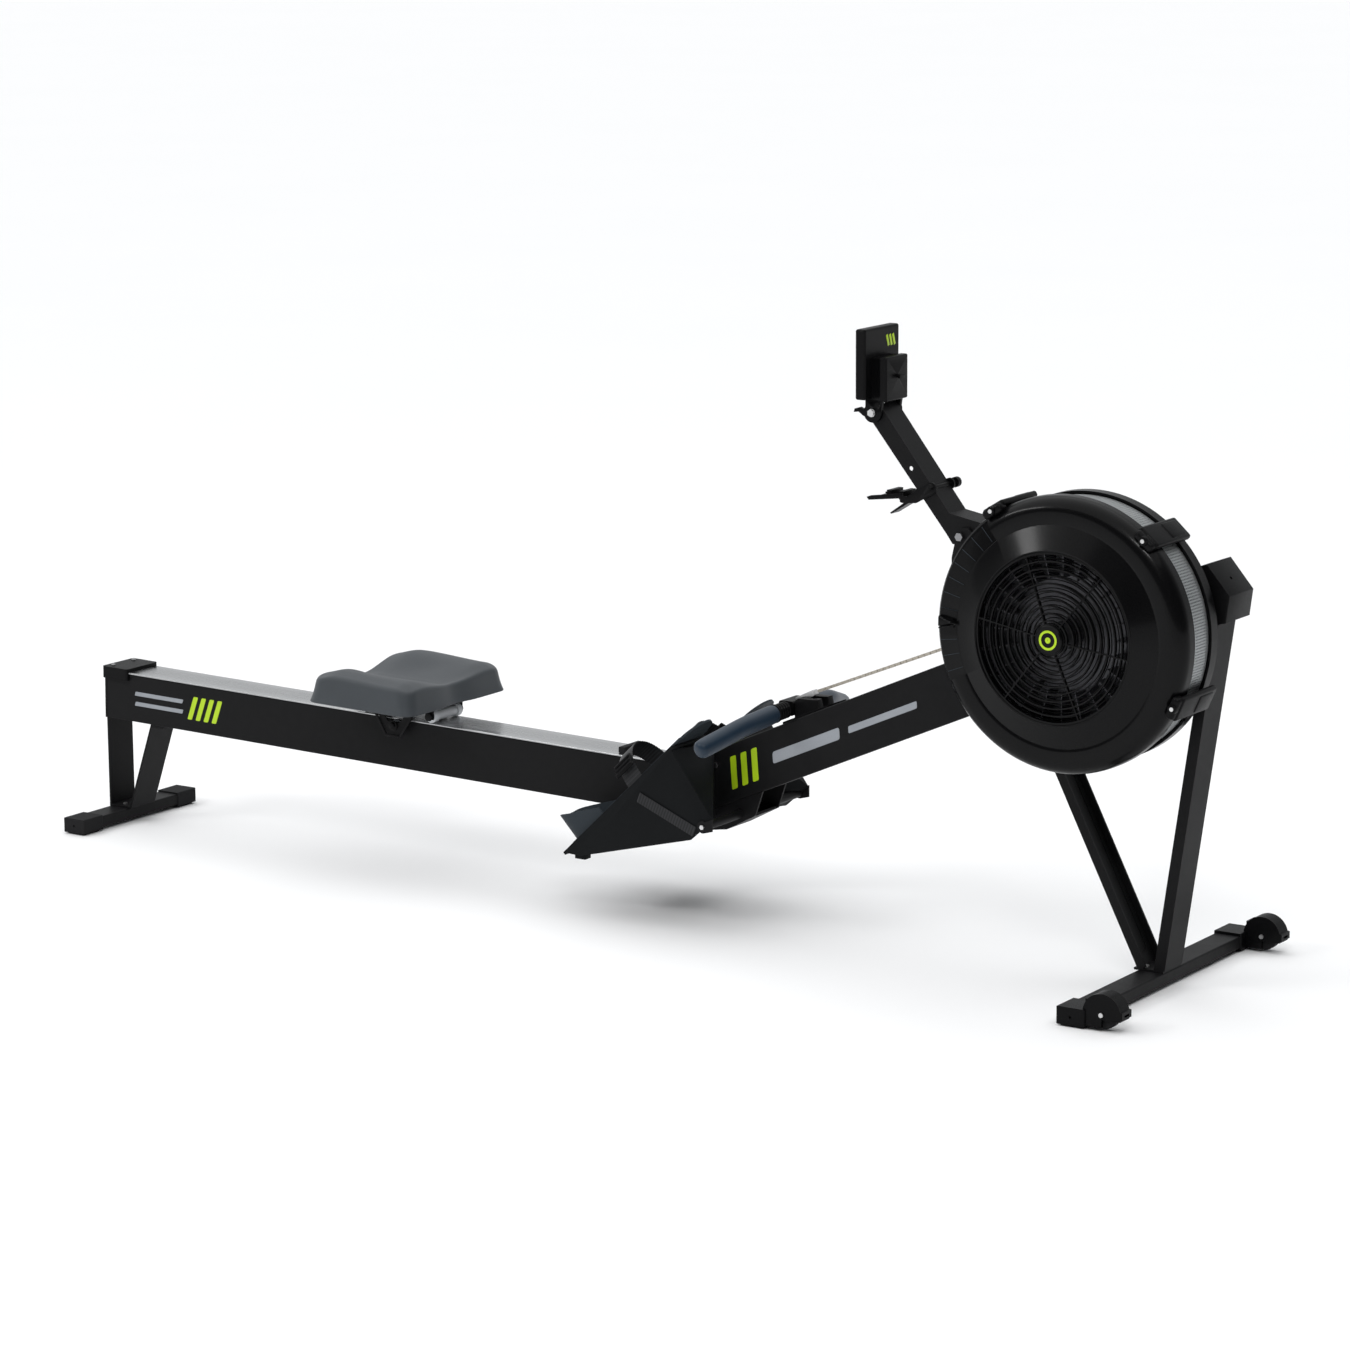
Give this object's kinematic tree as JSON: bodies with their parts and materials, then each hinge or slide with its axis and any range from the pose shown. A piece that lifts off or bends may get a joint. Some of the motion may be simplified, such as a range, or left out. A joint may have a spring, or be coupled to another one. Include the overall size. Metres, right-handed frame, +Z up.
{
  "type": "rowing machine",
  "caption": "Air-resistance rowing machine: rolling seat on a steel-topped rail, sloping beam, caged fan, chain handle, angled footrests and a folding monitor arm.",
  "frame": {"origin": "on the floor, under the centre of the bounding box", "axes": "+X from the rear foot to the fan, +Z up, the rower's left side at +Y"},
  "size_m": [2.437, 0.623, 1.08],
  "materials": {
    "black_paint": "satin powder coat",
    "black_plastic": "fine-textured moulding",
    "cover_plastic": "satin-gloss moulding",
    "rubber": "matte",
    "track_steel": "brushed along the rail",
    "bright_steel": "bright zinc",
    "dark_steel": "machined",
    "band_steel": "perforated sheet",
    "chain_nickel": "nickel plated",
    "seat_foam": "moulded urethane skin",
    "grip_rubber": "soft navy moulding",
    "slate_plastic": "flexible moulding",
    "webbing": "woven webbing",
    "roller_plastic": "hard white moulding",
    "fan_alloy": "as pressed",
    "screen_glass": "grey display window",
    "cord_rubber": "sheathed elastic"
  },
  "bodies": {
    "frame": {"rail_beam": "black_paint", "rail_track": "track_steel", "rail_end_cap": "black_plastic", "seat_stop": "rubber", "rear_leg": "black_paint", "rear_foot_bar": "black_paint", "rear_foot_caps": "rubber", "main_beam": "black_paint", "beam_front_cap": "black_plastic", "front_leg": "black_paint", "front_foot_bar": "black_paint", "front_foot_caps": "black_plastic", "near_cover": "cover_plastic", "grille": "cover_plastic", "hub_cap": "cover_plastic", "vent_band": "band_steel", "cage_clips": "cover_plastic", "far_cover": "cover_plastic", "axle_bearings": "dark_steel", "recoil_cord": "cord_rubber", "monitor_bracket": "black_paint", "handle_holder": "black_plastic", "footrest_shell_left": "black_plastic", "footrest_shell_right": "black_plastic", "foot_strap_left": "webbing", "foot_strap_right": "webbing", "footrest_bracket": "black_paint", "frame_pins": "dark_steel", "fasteners": "bright_steel"},
    "seat": {"seat_pad": "seat_foam", "seat_carriage": "black_paint"},
    "top_roller_front": {"top_roller_front": "roller_plastic"},
    "top_roller_rear": {"top_roller_rear": "roller_plastic"},
    "lower_roller_left": {"lower_roller_left": "roller_plastic"},
    "lower_roller_right": {"lower_roller_right": "roller_plastic"},
    "handle": {"handle_core": "black_plastic", "grip_left": "grip_rubber", "grip_right": "grip_rubber", "chain_connector": "bright_steel", "chain": "chain_nickel"},
    "fan": {"flywheel": "fan_alloy", "fan_axle": "dark_steel"},
    "sprocket": {"chain_sprocket": "dark_steel"},
    "guide_roller": {"guide_roller": "roller_plastic"},
    "recoil_pulley": {"recoil_pulley": "roller_plastic"},
    "damper": {"damper_lever": "cover_plastic"},
    "caster_left": {"caster_wheel_left": "rubber"},
    "caster_right": {"caster_wheel_right": "rubber"},
    "foot_plate_left": {"foot_plate_left": "slate_plastic"},
    "foot_plate_right": {"foot_plate_right": "slate_plastic"},
    "buckle_left": {"strap_buckle_left": "black_plastic"},
    "buckle_right": {"strap_buckle_right": "black_plastic"},
    "monitor_arm": {"monitor_arm": "black_paint"},
    "device_holder": {"device_holder": "black_plastic"},
    "monitor": {"monitor_case": "black_plastic", "monitor_screen": "screen_glass", "monitor_mount": "black_plastic"},
    "key_1": {"monitor_key_1": "rubber"},
    "key_2": {"monitor_key_2": "rubber"},
    "key_3": {"monitor_key_3": "rubber"}
  },
  "joints": [
    {"name": "seat_slide", "type": "slide", "parent": "frame", "child": "seat", "axis": [0.9997, 0, -0.0227], "range_m": [-0.555, 0.4]},
    {"name": "top_roller_front_spin", "type": "hinge", "parent": "seat", "child": "top_roller_front", "pos_m": [-0.41691, 0, 0.29967], "axis": [0, 1, 0], "range_deg": [-2700, 2000]},
    {"name": "top_roller_rear_spin", "type": "hinge", "parent": "seat", "child": "top_roller_rear", "pos_m": [-0.57487, 0, 0.30326], "axis": [0, 1, 0], "range_deg": [-2700, 2000]},
    {"name": "lower_roller_left_spin", "type": "hinge", "parent": "seat", "child": "lower_roller_left", "pos_m": [-0.49647, 0.0426, 0.27597], "axis": [0, 1, 0], "range_deg": [-2700, 3700]},
    {"name": "lower_roller_right_spin", "type": "hinge", "parent": "seat", "child": "lower_roller_right", "pos_m": [-0.49647, -0.0426, 0.27597], "axis": [0, 1, 0], "range_deg": [-2700, 3700]},
    {"name": "handle_pull", "type": "slide", "parent": "frame", "child": "handle", "axis": [-0.9945, 0, 0.1045], "range_m": [0, 1.2], "stiffness_N_per_m": 15, "springref_m": -1.2, "deforming": ["chain", "recoil_cord"]},
    {"name": "sprocket_spin", "type": "hinge", "parent": "frame", "child": "sprocket", "pos_m": [0.98, 0, 0.617], "axis": [0, 1, 0], "range_deg": [-3100, 10]},
    {"name": "guide_roller_spin", "type": "hinge", "parent": "frame", "child": "guide_roller", "pos_m": [0.735, 0, 0.5518], "axis": [0, 1, 0], "range_deg": [-7700, 10]},
    {"name": "recoil_pulley_spin", "type": "hinge", "parent": "frame", "child": "recoil_pulley", "pos_m": [0.2269, 0, 0.24174], "axis": [0, 1, 0], "range_deg": [-10, 4000]},
    {"name": "fan_spin", "type": "hinge", "parent": "frame", "child": "fan", "pos_m": [0.98, -0.13, 0.617], "axis": [0, 1, 0], "continuous": true},
    {"name": "damper_turn", "type": "hinge", "parent": "frame", "child": "damper", "pos_m": [0.98, -0.185, 0.617], "axis": [0, 1, 0], "range_deg": [-18, 43]},
    {"name": "caster_left_spin", "type": "hinge", "parent": "frame", "child": "caster_left", "pos_m": [1.1343, 0.292, 0.0285], "axis": [0, 1, 0], "continuous": true},
    {"name": "caster_right_spin", "type": "hinge", "parent": "frame", "child": "caster_right", "pos_m": [1.1343, -0.292, 0.0285], "axis": [0, 1, 0], "continuous": true},
    {"name": "foot_plate_left_slide", "type": "slide", "parent": "frame", "child": "foot_plate_left", "axis": [0.7254, 0, 0.6884], "range_m": [0, 0.054]},
    {"name": "foot_plate_right_slide", "type": "slide", "parent": "frame", "child": "foot_plate_right", "axis": [0.7254, 0, 0.6884], "range_m": [0, 0.054]},
    {"name": "buckle_left_lift", "type": "hinge", "parent": "frame", "child": "buckle_left", "pos_m": [0.08839, 0.14961, 0.2952], "axis": [0.7254, 0, 0.6884], "range_deg": [0, 60]},
    {"name": "buckle_right_lift", "type": "hinge", "parent": "frame", "child": "buckle_right", "pos_m": [0.08839, -0.14961, 0.2952], "axis": [-0.7254, 0, -0.6884], "range_deg": [0, 60]},
    {"name": "monitor_arm_fold", "type": "hinge", "parent": "frame", "child": "monitor_arm", "pos_m": [0.7074, 0, 0.7373], "axis": [0, 1, 0], "range_deg": [-45, 0]},
    {"name": "device_holder_turn", "type": "hinge", "parent": "monitor_arm", "child": "device_holder", "pos_m": [0.648, 0, 0.8146], "axis": [0, 1, 0], "range_deg": [-10, 25]},
    {"name": "monitor_tilt", "type": "hinge", "parent": "monitor_arm", "child": "monitor", "pos_m": [0.533, 0, 0.936], "axis": [0, 1, 0], "range_deg": [-30, 12]},
    {"name": "key_1_press", "type": "slide", "parent": "monitor", "child": "key_1", "axis": [1, 0, 0], "range_m": [0, 0.0012], "stiffness_N_per_m": 400},
    {"name": "key_2_press", "type": "slide", "parent": "monitor", "child": "key_2", "axis": [1, 0, 0], "range_m": [0, 0.0012], "stiffness_N_per_m": 400},
    {"name": "key_3_press", "type": "slide", "parent": "monitor", "child": "key_3", "axis": [1, 0, 0], "range_m": [0, 0.0012], "stiffness_N_per_m": 400}
  ],
  "couplings": [
    {"joint": "top_roller_front_spin", "follows": "seat_slide", "rad_per_m": 76.923},
    {"joint": "top_roller_rear_spin", "follows": "seat_slide", "rad_per_m": 76.923},
    {"joint": "sprocket_spin", "follows": "handle_pull", "rad_per_m": -42.735},
    {"joint": "guide_roller_spin", "follows": "handle_pull", "rad_per_m": -105.26},
    {"joint": "recoil_pulley_spin", "follows": "handle_pull", "rad_per_m": 57.143},
    {"joint": "lower_roller_left_spin", "follows": "seat_slide", "rad_per_m": -111.11},
    {"joint": "lower_roller_right_spin", "follows": "seat_slide", "rad_per_m": -111.11}
  ]
}
